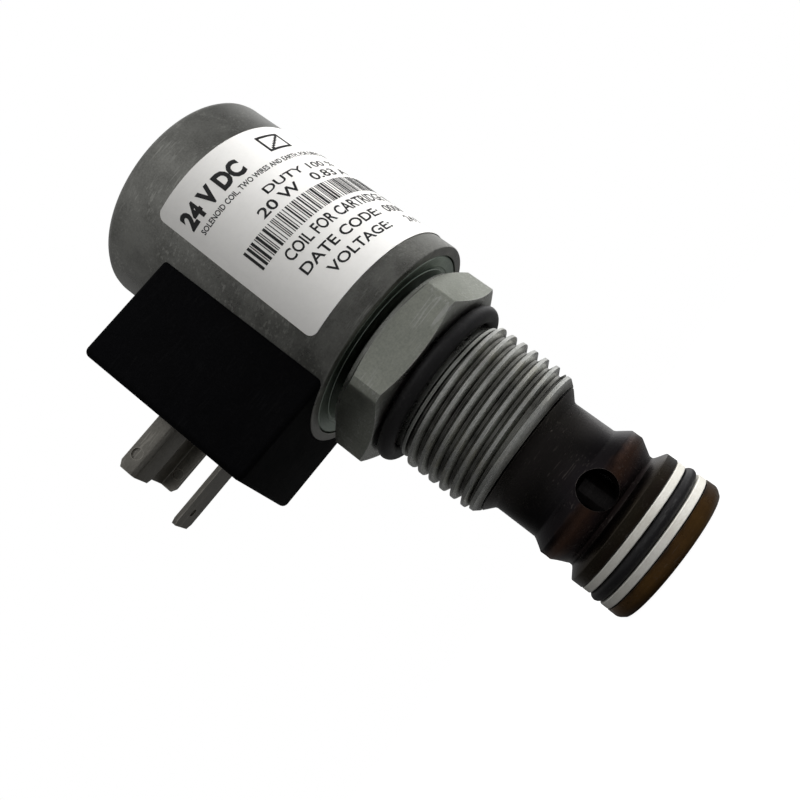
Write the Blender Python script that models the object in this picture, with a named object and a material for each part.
"""Solenoid cartridge valve: a screw-in, normally closed poppet valve with its coil.

The valve's own axis is Z. The hex seats on a manifold at z = 0, the threaded nose
hangs below it, and the coil stands above it on the armature tube. The coil and its
connector are turned a few degrees from +X, as the coil is free to swivel on its tube.
"""

import math

import bmesh
import bpy
from mathutils import Matrix

MM = 0.001
GAP = 0.3 * MM  # clearance between pieces that touch or slide
TAU = 2 * math.pi

# Hex body, for a 1-1/16-12 UN cavity
HEX_FLATS = 31.75 * MM
HEX_CORNER_R = 17.9 * MM
HEX_HEIGHT = 7.0 * MM
HEX_CHAMFER = 25.0  # degrees
WASHER_FACE_R = 15.5 * MM
BODY_TOP = 7.9 * MM
BODY_SIDES = 40
NECK_R = 12.05 * MM
THREAD_R = 13.45 * MM
THREAD_ROOT_R = 12.3 * MM
THREAD_PITCH = 25.4 / 12 * MM
THREAD_TOP = -5.2 * MM
THREAD_BOTTOM = -17.2 * MM
BODY_END = -19.2 * MM
SOCKET_R = 10.0 * MM
SOCKET_TOP = -6.0 * MM
PIN_BORE_R = 5.6 * MM
TUBE_SEAT = 2.0 * MM
TUBE_SOCKET_R = 8.25 * MM
RIDGE_R = 12.7 * MM
LAST_LAND_R = 13.1 * MM
RIM_R = 13.5 * MM  # where the hex blank joins the turned core

# Cage below the body, with its cross ports and nose seal
WAIST_R = 10.3 * MM
BAND_R = 11.95 * MM
LAND_R = 12.15 * MM
NOSE_R = 12.35 * MM
NOSE_END = -46.2 * MM
NOSE_FACE_R = 11.35 * MM
CAGE_BORE_R = 7.0 * MM
CROSS_PORT_R = 3.08 * MM
CROSS_PORT_Z = -31.5 * MM
NOSE_PORT_R = 5.0 * MM
SEAL_GROOVE_R = 9.9 * MM
SEAL_GROOVE_TOP = -38.45 * MM
SEAL_GROOVE_END = -43.55 * MM
BACKUP_WIDTH = 1.3 * MM

# Armature tube and what moves in it
TUBE_R = 7.95 * MM
TUBE_BORE_R = 6.7 * MM
TUBE_TOP = 47.5 * MM
ARMATURE_R = 6.4 * MM
ARMATURE_BOTTOM = 2.4 * MM
ARMATURE_TOP = 27.5 * MM
STROKE = 2.0 * MM
SPRING_R = 2.2 * MM
SPRING_WIRE_R = 0.4 * MM
SPRING_BOTTOM = 20.3 * MM
SPRING_TOP = 32.7 * MM
SPRING_TURNS = 6
SPRING_HOLE_R = 2.9 * MM
PIN_R = 1.5 * MM

# Coil
CAN_R = 19.57 * MM
CAN_WALL = 1.65 * MM
CAN_BOTTOM = 9.06 * MM
CAN_TOP = 55.1 * MM
CAN_LID = 1.9 * MM
COIL_BORE_R = 8.3 * MM
COIL_TURN = math.radians(4.8)
CAN_SIDES = 64

# Connector block, drawn with its face towards +X before the coil is turned
FACE_X = 32.1 * MM
BLOCK_HALF_WIDTH = 14.6 * MM
BLOCK_BOTTOM = 9.25 * MM
BLOCK_TOP = 42.4 * MM
PINS_Z = 26.65 * MM
PIN_RADIUS = 9.0 * MM
BLADE = 0.8 * MM
BLADE_WIDTH = 6.3 * MM
DIMPLE_DEPTH = 0.35 * MM

# Nut that clamps the coil
NUT_FLATS = 17.0 * MM
NUT_HEIGHT = 5.0 * MM
STUD_R = 5.9 * MM
STUD_TOP = 61.9 * MM


def clear_scene():
    for obj in list(bpy.data.objects):
        bpy.data.objects.remove(obj, do_unlink=True)


def material(name, colour, roughness, metallic):
    look = bpy.data.materials.new(name)
    look.use_nodes = True
    shader = look.node_tree.nodes["Principled BSDF"]
    shader.inputs["Base Color"].default_value = (*colour, 1.0)
    shader.inputs["Roughness"].default_value = roughness
    shader.inputs["Metallic"].default_value = metallic
    return look


def make_looks():
    return {
        "zinc": material("zinc_plate", (0.42, 0.44, 0.40), 0.38, 1.0),
        "pale_zinc": material("pale_zinc", (0.55, 0.62, 0.55), 0.35, 1.0),
        "dark_steel": material("blackened_steel", (0.09, 0.065, 0.05), 0.32, 1.0),
        "steel": material("ground_steel", (0.50, 0.50, 0.50), 0.28, 1.0),
        "can": material("coil_can_steel", (0.33, 0.33, 0.32), 0.36, 1.0),
        "rubber": material("seal_rubber", (0.02, 0.02, 0.022), 0.45, 0.0),
        "backup": material("backup_ring_plastic", (0.80, 0.79, 0.74), 0.5, 0.0),
        "black": material("moulded_black", (0.018, 0.018, 0.02), 0.5, 0.0),
        "copper": material("enamelled_wire", (0.55, 0.22, 0.08), 0.35, 1.0),
        "brass": material("insert_brass", (0.70, 0.52, 0.25), 0.3, 1.0),
        "tin": material("tinned_blade", (0.58, 0.57, 0.54), 0.3, 1.0),
        "paper": material("label_film", (0.78, 0.78, 0.78), 0.4, 0.0),
    }


def place(name, bm, look, turn=0.0):
    """Makes an object of a bmesh, turned about Z, with its faces pointing out."""
    bmesh.ops.recalc_face_normals(bm, faces=bm.faces)
    bmesh.ops.rotate(bm, verts=bm.verts, cent=(0, 0, 0), matrix=Matrix.Rotation(turn, 3, "Z"))
    mesh = bpy.data.meshes.new(name)
    bm.to_mesh(mesh)
    bm.free()
    mesh.shade_smooth()
    mesh.set_sharp_from_angle(angle=math.radians(32))
    mesh.materials.append(look)
    obj = bpy.data.objects.new(name, mesh)
    bpy.context.scene.collection.objects.link(obj)
    return obj


def revolve(outline, sides):
    """A body of revolution about Z. Its outline is closed, or starts and ends on the axis."""
    bm = bmesh.new()
    points = [bm.verts.new((r, 0, z)) for r, z in outline]
    pairs = list(zip(points, points[1:]))
    if outline[0][0] > 0 or outline[-1][0] > 0:
        pairs.append((points[-1], points[0]))
    edges = [bm.edges.new(pair) for pair in pairs]
    bmesh.ops.spin(
        bm, geom=points + edges, cent=(0, 0, 0), axis=(0, 0, 1), angle=TAU, steps=sides, use_merge=True
    )
    bmesh.ops.remove_doubles(bm, verts=bm.verts, dist=1e-6)
    return bm


def turned(name, outline, look, sides=32, turn=0.0):
    return place(name, revolve(outline, sides), look, turn)


def ring(name, inner, outer, low, high, look, sides=32, turn=0.0):
    return turned(name, [(inner, high), (inner, low), (outer, low), (outer, high)], look, sides, turn)


def o_ring(name, centre_r, section_r, z, look, sides=36):
    arc = [TAU * k / 8 for k in range(8)]
    return turned(
        name, [(centre_r + section_r * math.cos(a), z + section_r * math.sin(a)) for a in arc], look, sides
    )


def box(low, high):
    bm = bmesh.new()
    bmesh.ops.create_cube(bm, size=1.0)
    size = [h - l for l, h in zip(low, high)]
    bmesh.ops.scale(bm, vec=size, verts=bm.verts)
    bmesh.ops.translate(bm, vec=[(l + h) / 2 for l, h in zip(low, high)], verts=bm.verts)
    return bm


def rod(radius, length, sides, axis="Z"):
    """A closed cylinder centred on the origin, along one axis."""
    bm = bmesh.new()
    bmesh.ops.create_cone(
        bm, cap_ends=True, cap_tris=False, segments=sides, radius1=radius, radius2=radius, depth=length
    )
    if axis == "X":
        bmesh.ops.rotate(bm, verts=bm.verts, cent=(0, 0, 0), matrix=Matrix.Rotation(math.pi / 2, 3, "Y"))
    return bm


def helper(name, bm, turn=0.0):
    """A hidden tool for a Boolean."""
    bmesh.ops.recalc_face_normals(bm, faces=bm.faces)
    bmesh.ops.rotate(bm, verts=bm.verts, cent=(0, 0, 0), matrix=Matrix.Rotation(turn, 3, "Z"))
    mesh = bpy.data.meshes.new(name)
    bm.to_mesh(mesh)
    bm.free()
    obj = bpy.data.objects.new(name, mesh)
    bpy.context.scene.collection.objects.link(obj)
    obj.hide_render = True
    obj.display_type = "WIRE"
    return obj


def combine(obj, other, operation):
    step = obj.modifiers.new(other.name, "BOOLEAN")
    step.operation = operation
    step.object = other


def hexagon(flats, low, high):
    """A plain hex prism about Z with a flat on +Y."""
    bm = bmesh.new()
    corner = flats / math.sqrt(3)
    bmesh.ops.create_cone(bm, cap_ends=True, segments=6, radius1=corner, radius2=corner, depth=high - low)
    bmesh.ops.rotate(bm, verts=bm.verts, cent=(0, 0, 0), matrix=Matrix.Rotation(math.pi / 6, 3, "Z"))
    bmesh.ops.translate(bm, vec=(0, 0, (low + high) / 2), verts=bm.verts)
    return bm


def corner_turning(corner_r, low, high, low_cut, high_cut):
    """The lathe shape that turns down a hexagon's corners and chamfers its two faces."""
    slope = math.tan(math.radians(HEX_CHAMFER))
    return [
        (0, high),
        (corner_r - high_cut / slope, high),
        (corner_r, high - high_cut),
        (corner_r, low + low_cut),
        (corner_r - low_cut / slope, low),
        (0, low),
    ]


def thread_ridge(root_r, crest_r, pitch, top, bottom):
    """The ridge of a screw thread, one closed bar wound down a helix and sunk into the root cylinder."""
    steps_per_turn = 40
    turns = (top - bottom) / pitch
    steps = round(turns * steps_per_turn)
    sunk = root_r - 0.5 * MM
    crest, foot = 0.13, 0.40  # half widths, as shares of the pitch
    half = [(sunk, foot + 0.02), (root_r, foot), (crest_r, crest)]
    section = half + [(r, -share) for r, share in reversed(half)]
    bm = bmesh.new()
    points = [bm.verts.new((r, 0, top + share * pitch)) for r, share in section]
    face = bm.faces.new(points)
    bmesh.ops.spin(
        bm,
        geom=[face, *face.edges, *face.verts],
        cent=(0, 0, 0),
        axis=(0, 0, 1),
        dvec=(0, 0, -pitch / steps_per_turn),
        angle=-TAU * steps / steps_per_turn,
        steps=steps,
    )
    return bm


def hex_body(looks):
    """Hex, seal neck and thread in one turned piece, bored for the cage below and the tube above."""
    outline = [
        (TUBE_SOCKET_R, BODY_TOP),
        (TUBE_SOCKET_R, TUBE_SEAT),
        (PIN_BORE_R, TUBE_SEAT),
        (PIN_BORE_R, SOCKET_TOP),
        (SOCKET_R, SOCKET_TOP),
        (SOCKET_R, BODY_END),
        (THREAD_ROOT_R, BODY_END),
        (LAST_LAND_R - 0.1 * MM, BODY_END + 0.9 * MM),
        (LAST_LAND_R, THREAD_BOTTOM - 0.5 * MM),
        (THREAD_ROOT_R, THREAD_BOTTOM),
        (THREAD_ROOT_R, -4.6 * MM),
        (RIDGE_R, -4.3 * MM),
        (RIDGE_R, -3.8 * MM),
        (NECK_R, -3.4 * MM),
        (NECK_R, 0.8 * MM),
        (RIM_R, 0.8 * MM),
        (RIM_R, HEX_HEIGHT - 0.8 * MM),
        (WASHER_FACE_R, HEX_HEIGHT - 0.5 * MM),
        (WASHER_FACE_R, BODY_TOP - 0.2 * MM),
        (WASHER_FACE_R - 0.2 * MM, BODY_TOP),
    ]
    body = turned("hex_body", outline, looks["zinc"], sides=BODY_SIDES)
    wrench = helper("hex_blank", hexagon(HEX_FLATS, 0, HEX_HEIGHT))
    turning = corner_turning(HEX_CORNER_R, 0, HEX_HEIGHT, 1.05 * MM, 0.9 * MM)
    combine(wrench, helper("hex_turning", revolve(turning, BODY_SIDES)), "INTERSECT")
    combine(wrench, helper("hex_bore", rod(NECK_R + 0.4 * MM, 40 * MM, BODY_SIDES)), "DIFFERENCE")
    combine(body, wrench, "UNION")
    ridge = thread_ridge(THREAD_ROOT_R, THREAD_R, THREAD_PITCH, THREAD_TOP, THREAD_BOTTOM)
    combine(body, helper("thread_ridge", ridge), "UNION")


def cage(looks):
    """The nose: a blackened sleeve with a ported band, a seal groove, and the poppet's bore and seat."""
    outline = [
        (CAGE_BORE_R, SOCKET_TOP - GAP),
        (CAGE_BORE_R, -36.4 * MM),
        (4.8 * MM, -38.7 * MM),
        (NOSE_PORT_R, -39.4 * MM),
        (NOSE_PORT_R, NOSE_END + 0.5 * MM),
        (NOSE_PORT_R + 0.5 * MM, NOSE_END),
        (NOSE_FACE_R, NOSE_END),
        (NOSE_R, NOSE_END + 1.15 * MM),
        (NOSE_R, SEAL_GROOVE_END),
        (SEAL_GROOVE_R, SEAL_GROOVE_END),
        (SEAL_GROOVE_R, SEAL_GROOVE_TOP),
        (LAND_R, SEAL_GROOVE_TOP),
        (LAND_R, -36.7 * MM),
        (10.6 * MM, -35.7 * MM),
        (WAIST_R, -35.2 * MM),
        (WAIST_R, -34.8 * MM),
        (BAND_R, -32.4 * MM),
        (BAND_R, -30.5 * MM),
        (WAIST_R, -28.4 * MM),
        (WAIST_R, -21.0 * MM),
        (12.0 * MM, BODY_END - GAP),
        (SOCKET_R - GAP, BODY_END - GAP),
        (SOCKET_R - GAP, SOCKET_TOP - GAP),
    ]
    body = turned("cage", outline, looks["dark_steel"], sides=BODY_SIDES)
    for name, axis in (("cross_port_x", "X"), ("cross_port_y", "Y")):
        drill = rod(CROSS_PORT_R, 40 * MM, 24, "X")
        if axis == "Y":
            bmesh.ops.rotate(
                drill, verts=drill.verts, cent=(0, 0, 0), matrix=Matrix.Rotation(math.pi / 2, 3, "Z")
            )
        bmesh.ops.translate(drill, vec=(0, 0, CROSS_PORT_Z), verts=drill.verts)
        combine(body, helper(name, drill), "DIFFERENCE")


def seals(looks):
    o_ring("port_o_ring", 13.75 * MM, 1.45 * MM, -1.52 * MM, looks["rubber"])
    inner = SEAL_GROOVE_R + GAP
    top = SEAL_GROOVE_TOP - 0.15 * MM
    end = SEAL_GROOVE_END + 0.15 * MM
    ring("upper_backup_ring", inner, LAND_R - 0.05 * MM, top - BACKUP_WIDTH, top, looks["backup"])
    o_ring("nose_o_ring", 11.5 * MM, 0.98 * MM, (top + end) / 2, looks["rubber"])
    ring("lower_backup_ring", inner, NOSE_R - 0.05 * MM, end, end + BACKUP_WIDTH, looks["backup"])
    o_ring("lower_coil_o_ring", 9.9 * MM, 0.85 * MM, 9.2 * MM, looks["rubber"])


def tube_and_pole(looks):
    ring("armature_tube", TUBE_BORE_R, TUBE_R, TUBE_SEAT + GAP, TUBE_TOP, looks["steel"])
    turned(
        "pole_piece",
        [
            (0, STUD_TOP),
            (STUD_R - 0.6 * MM, STUD_TOP),
            (STUD_R, STUD_TOP - 0.6 * MM),
            (STUD_R, CAN_TOP + GAP),
            (TUBE_R, CAN_TOP + GAP),
            (TUBE_R, TUBE_TOP + GAP),
            (ARMATURE_R, TUBE_TOP + GAP),
            (ARMATURE_R, ARMATURE_TOP + STROKE + GAP),
            (SPRING_HOLE_R, ARMATURE_TOP + STROKE + GAP),
            (SPRING_HOLE_R, SPRING_TOP + GAP),
            (0, SPRING_TOP + GAP),
        ],
        looks["steel"],
    )


def moving_parts(looks):
    """Armature, pilot pin, return spring and poppet, at rest with the valve shut."""
    pin_bore = PIN_R + GAP
    pin_top = 12.0 * MM
    floor = SPRING_BOTTOM - GAP
    drain = 0.8 * MM
    turned(
        "armature",
        [
            (drain, floor),
            (drain, pin_top + GAP),
            (pin_bore, pin_top + GAP),
            (pin_bore, ARMATURE_BOTTOM),
            (ARMATURE_R - 0.5 * MM, ARMATURE_BOTTOM),
            (ARMATURE_R, ARMATURE_BOTTOM + 0.5 * MM),
            (ARMATURE_R, ARMATURE_TOP),
            (SPRING_HOLE_R, ARMATURE_TOP),
            (SPRING_HOLE_R, floor),
        ],
        looks["steel"],
    )
    turned(
        "pilot_pin",
        [(0, pin_top), (PIN_R, pin_top), (PIN_R, -21.5 * MM), (0.4 * MM, -23.0 * MM), (0, -23.0 * MM)],
        looks["steel"],
        sides=20,
    )
    orifice = 0.9 * MM
    turned(
        "poppet",
        [
            (4.5 * MM, -14.0 * MM),
            (4.5 * MM, -21.0 * MM),
            (orifice, -23.7 * MM),
            (orifice, -39.0 * MM),
            (3.9 * MM, -39.0 * MM),
            (6.4 * MM, -36.4 * MM),
            (6.4 * MM, -35.9 * MM),
            (5.4 * MM, -35.2 * MM),
            (5.4 * MM, -29.2 * MM),
            (6.8 * MM, -28.2 * MM),
            (6.8 * MM, -14.0 * MM),
        ],
        looks["steel"],
    )
    spring(looks)


def spring(looks):
    steps_per_turn = 12
    length = SPRING_TOP - SPRING_BOTTOM - 2 * SPRING_WIRE_R
    count = SPRING_TURNS * steps_per_turn
    curve = bpy.data.curves.new("return_spring", "CURVE")
    curve.dimensions = "3D"
    curve.bevel_depth = SPRING_WIRE_R
    curve.bevel_resolution = 1
    curve.use_fill_caps = True
    line = curve.splines.new("POLY")
    line.points.add(count)
    for k, point in enumerate(line.points):
        angle = TAU * k / steps_per_turn
        z = SPRING_BOTTOM + SPRING_WIRE_R + length * k / count
        point.co = (SPRING_R * math.cos(angle), SPRING_R * math.sin(angle), z, 1.0)
    curve.materials.append(looks["steel"])
    obj = bpy.data.objects.new("return_spring", curve)
    bpy.context.scene.collection.objects.link(obj)


def coil_shell(looks):
    """The drawn steel can, open below, with a window that the connector block passes through."""
    inner = CAN_R - CAN_WALL
    can = turned(
        "coil_can",
        [
            (COIL_BORE_R, CAN_TOP),
            (COIL_BORE_R, CAN_TOP - CAN_LID),
            (inner, CAN_TOP - CAN_LID),
            (inner, CAN_BOTTOM),
            (CAN_R - 0.25 * MM, CAN_BOTTOM),
            (CAN_R, CAN_BOTTOM + 0.25 * MM),
            (CAN_R, CAN_TOP - 1.2 * MM),
            (CAN_R - 0.35 * MM, CAN_TOP - 0.35 * MM),
            (CAN_R - 1.2 * MM, CAN_TOP),
        ],
        looks["can"],
        sides=CAN_SIDES,
        turn=COIL_TURN,
    )
    window = box((12 * MM, -8.4 * MM, 13.6 * MM), (24 * MM, 8.4 * MM, 38.4 * MM))
    combine(can, helper("can_window", window, COIL_TURN), "DIFFERENCE")


def coil_inside(looks):
    """Flux washers, bobbin, winding and the potting round it."""
    bore = COIL_BORE_R
    edge = CAN_R - CAN_WALL - GAP
    turn = COIL_TURN
    low, high = CAN_BOTTOM + 0.1 * MM, 12.0 * MM
    step_z, step_r = 10.4 * MM, 11.3 * MM
    turned(
        "lower_flux_washer",
        [(bore, high), (bore, step_z), (step_r, step_z), (step_r, low), (edge, low), (edge, high)],
        looks["pale_zinc"],
        turn=turn,
    )
    foot, head = high + GAP, 50.9 * MM
    lid = CAN_TOP - CAN_LID - GAP
    ring("upper_flux_washer", bore, edge, head + GAP, lid, looks["pale_zinc"], turn=turn)
    core = 9.3 * MM
    flange = 1.5 * MM
    turned(
        "bobbin",
        [
            (bore, head),
            (bore, foot),
            (edge, foot),
            (edge, foot + flange),
            (core, foot + flange),
            (core, head - flange),
            (edge, head - flange),
            (edge, head),
        ],
        looks["black"],
        turn=turn,
    )
    low, high = foot + flange + GAP, head - flange - GAP
    ring("winding", core + GAP, 14.5 * MM, low, high, looks["copper"], turn=turn)
    ring("potting", 14.8 * MM, edge, low, high, looks["black"], turn=turn)


def connector(looks):
    """The moulded connector block, its brass insert, and two folded line blades and a flat earth blade."""
    back = 12.0 * MM
    outer = box((back, -BLOCK_HALF_WIDTH, BLOCK_BOTTOM), (FACE_X, BLOCK_HALF_WIDTH, BLOCK_TOP))
    bmesh.ops.bevel(
        outer,
        geom=[e for e in outer.edges if max(v.co.x for v in e.verts) > FACE_X - MM / 10],
        offset=1.1 * MM,
        offset_type="OFFSET",
        segments=2,
        profile=0.5,
        affect="EDGES",
        material=-1,
    )
    block = place("connector_block", outer, looks["black"], COIL_TURN)
    cutter = rod(CAN_R + GAP, 80 * MM, CAN_SIDES)
    bmesh.ops.translate(cutter, vec=(0, 0, PINS_Z), verts=cutter.verts)
    combine(block, helper("can_clearance", cutter, COIL_TURN), "DIFFERENCE")
    neck = box((CAN_R - CAN_WALL, -8.1 * MM, 13.9 * MM), (22 * MM, 8.1 * MM, 38.1 * MM))
    combine(block, helper("block_neck", neck, COIL_TURN), "UNION")

    insert_depth = 5.7 * MM
    hole = rod(2.9 * MM, 2 * insert_depth + 2 * GAP, 20, "X")
    bmesh.ops.translate(hole, vec=(FACE_X, 0, PINS_Z), verts=hole.verts)
    combine(block, helper("insert_hole", hole, COIL_TURN), "DIFFERENCE")
    insert = rod(2.6 * MM, insert_depth, 20, "X")
    bmesh.ops.translate(insert, vec=(FACE_X - insert_depth / 2, 0, PINS_Z), verts=insert.verts)
    brass = place("screw_insert", insert, looks["brass"], COIL_TURN)
    bore = rod(1.25 * MM, 9 * MM, 16, "X")
    bmesh.ops.translate(bore, vec=(FACE_X, 0, PINS_Z), verts=bore.verts)
    combine(brass, helper("insert_bore", bore, COIL_TURN), "DIFFERENCE")

    root = FACE_X - 4.0 * MM
    for name, outline, length in blade_sections():
        slot = prism(widened(outline), root - GAP, FACE_X + 5 * MM)
        combine(block, helper(f"{name}_slot", slot, COIL_TURN), "DIFFERENCE")
        blade = place(name, prism(outline, root, FACE_X + length), looks["tin"], COIL_TURN)
        latch_dimple(blade, name)


def blade_sections():
    """Each blade's name, its section in (y, z), and its length past the block's face."""
    half = BLADE_WIDTH / 2
    low = PINS_Z - PIN_RADIUS - BLADE
    flat = [(-half, low), (half, low), (half, low + BLADE), (-half, low + BLADE)]
    yield "earth_terminal", flat, 12.1 * MM
    for name, side in (("near_line_terminal", 1), ("far_line_terminal", -1)):
        y, fold = side * PIN_RADIUS, PINS_Z - side * 1.9 * MM
        web, flange = y - side * 6.0 * MM, fold + side * 3.5 * MM
        thick = side * BLADE
        outline = [
            (y, fold),
            (y, flange),
            (y - thick, flange),
            (y - thick, fold + thick),
            (web, fold + thick),
            (web, fold),
        ]
        yield name, outline, 9.9 * MM


def prism(outline, start, end):
    """A (y, z) outline carried along X."""
    bm = bmesh.new()
    face = bm.faces.new([bm.verts.new((start, y, z)) for y, z in outline])
    moved = bmesh.ops.extrude_face_region(bm, geom=[face])["geom"]
    tip = [v for v in moved if isinstance(v, bmesh.types.BMVert)]
    bmesh.ops.translate(bm, vec=(end - start, 0, 0), verts=tip)
    return bm


def widened(outline):
    """The slot round a blade: its section with the usual gap on every side."""
    area = sum(a[0] * b[1] - b[0] * a[1] for a, b in zip(outline, outline[1:] + outline[:1]))
    turn = math.copysign(1.0, area)
    moved = []
    for before, point, after in zip(outline[-1:] + outline[:-1], outline, outline[1:] + outline[:1]):
        shift = [0.0, 0.0]
        for a, b in ((before, point), (point, after)):
            along = (b[0] - a[0], b[1] - a[1])
            size = math.hypot(*along)
            shift[0] += turn * GAP * along[1] / size
            shift[1] -= turn * GAP * along[0] / size
        moved.append((point[0] + shift[0], point[1] + shift[1]))
    return moved


def latch_dimple(blade, name):
    """The small blind latch mark near a blade's tip."""
    length = 2.0 * MM
    reach = length / 2 - DIMPLE_DEPTH
    if name == "earth_terminal":
        drill = rod(0.7 * MM, length, 12)
        centre = (FACE_X + 9.1 * MM, 0, PINS_Z - PIN_RADIUS - BLADE - reach)
    else:
        near = name.startswith("near")
        drill = rod(0.95 * MM, length, 12, "X")
        quarter = Matrix.Rotation(math.pi / 2, 3, "Z")
        bmesh.ops.rotate(drill, verts=drill.verts, cent=(0, 0, 0), matrix=quarter)
        face = PIN_RADIUS if near else BLADE - PIN_RADIUS
        shift = 0.2 * MM if near else -0.2 * MM
        centre = (FACE_X + 6.8 * MM, face + reach, PINS_Z + shift)
    bmesh.ops.translate(drill, vec=centre, verts=drill.verts)
    combine(blade, helper(f"{name}_dimple", drill, COIL_TURN), "DIFFERENCE")


def coil_label(looks):
    """A printed film wrapped round the side of the can, clear of the connector block."""
    step = TAU / CAN_SIDES
    first, last = 11, 38
    low, high = 13.7 * MM, 46.3 * MM
    inner, outer = CAN_R + 0.04 * MM, CAN_R + 0.2 * MM
    bm = bmesh.new()
    start = [bm.verts.new((r, 0, z)) for r, z in ((inner, low), (outer, low), (outer, high), (inner, high))]
    face = bm.faces.new(start)
    bmesh.ops.rotate(bm, verts=bm.verts, cent=(0, 0, 0), matrix=Matrix.Rotation(first * step, 3, "Z"))
    bmesh.ops.spin(
        bm,
        geom=[face, *face.edges, *face.verts],
        cent=(0, 0, 0),
        axis=(0, 0, 1),
        angle=(last - first) * step,
        steps=last - first,
    )
    place("coil_label", bm, looks["paper"], COIL_TURN)


def coil_nut(looks):
    low = CAN_TOP + GAP
    ring("nut_washer", STUD_R + GAP, 8.6 * MM, low + 0.1 * MM, low + 0.8 * MM, looks["rubber"])
    low += 1.1 * MM
    high = low + NUT_HEIGHT
    nut = place("coil_nut", hexagon(NUT_FLATS, low, high), looks["zinc"])
    corner = NUT_FLATS / math.sqrt(3) - 0.1 * MM
    turning = corner_turning(corner, low, high, 0.5 * MM, 0.8 * MM)
    combine(nut, helper("nut_turning", revolve(turning, 40)), "INTERSECT")
    drill = rod(STUD_R + GAP, 20 * MM, 40)
    bmesh.ops.translate(drill, vec=(0, 0, low), verts=drill.verts)
    combine(nut, helper("nut_bore", drill), "DIFFERENCE")


def main():
    clear_scene()
    looks = make_looks()
    hex_body(looks)
    cage(looks)
    seals(looks)
    tube_and_pole(looks)
    moving_parts(looks)
    coil_shell(looks)
    coil_inside(looks)
    connector(looks)
    coil_label(looks)
    coil_nut(looks)


main()
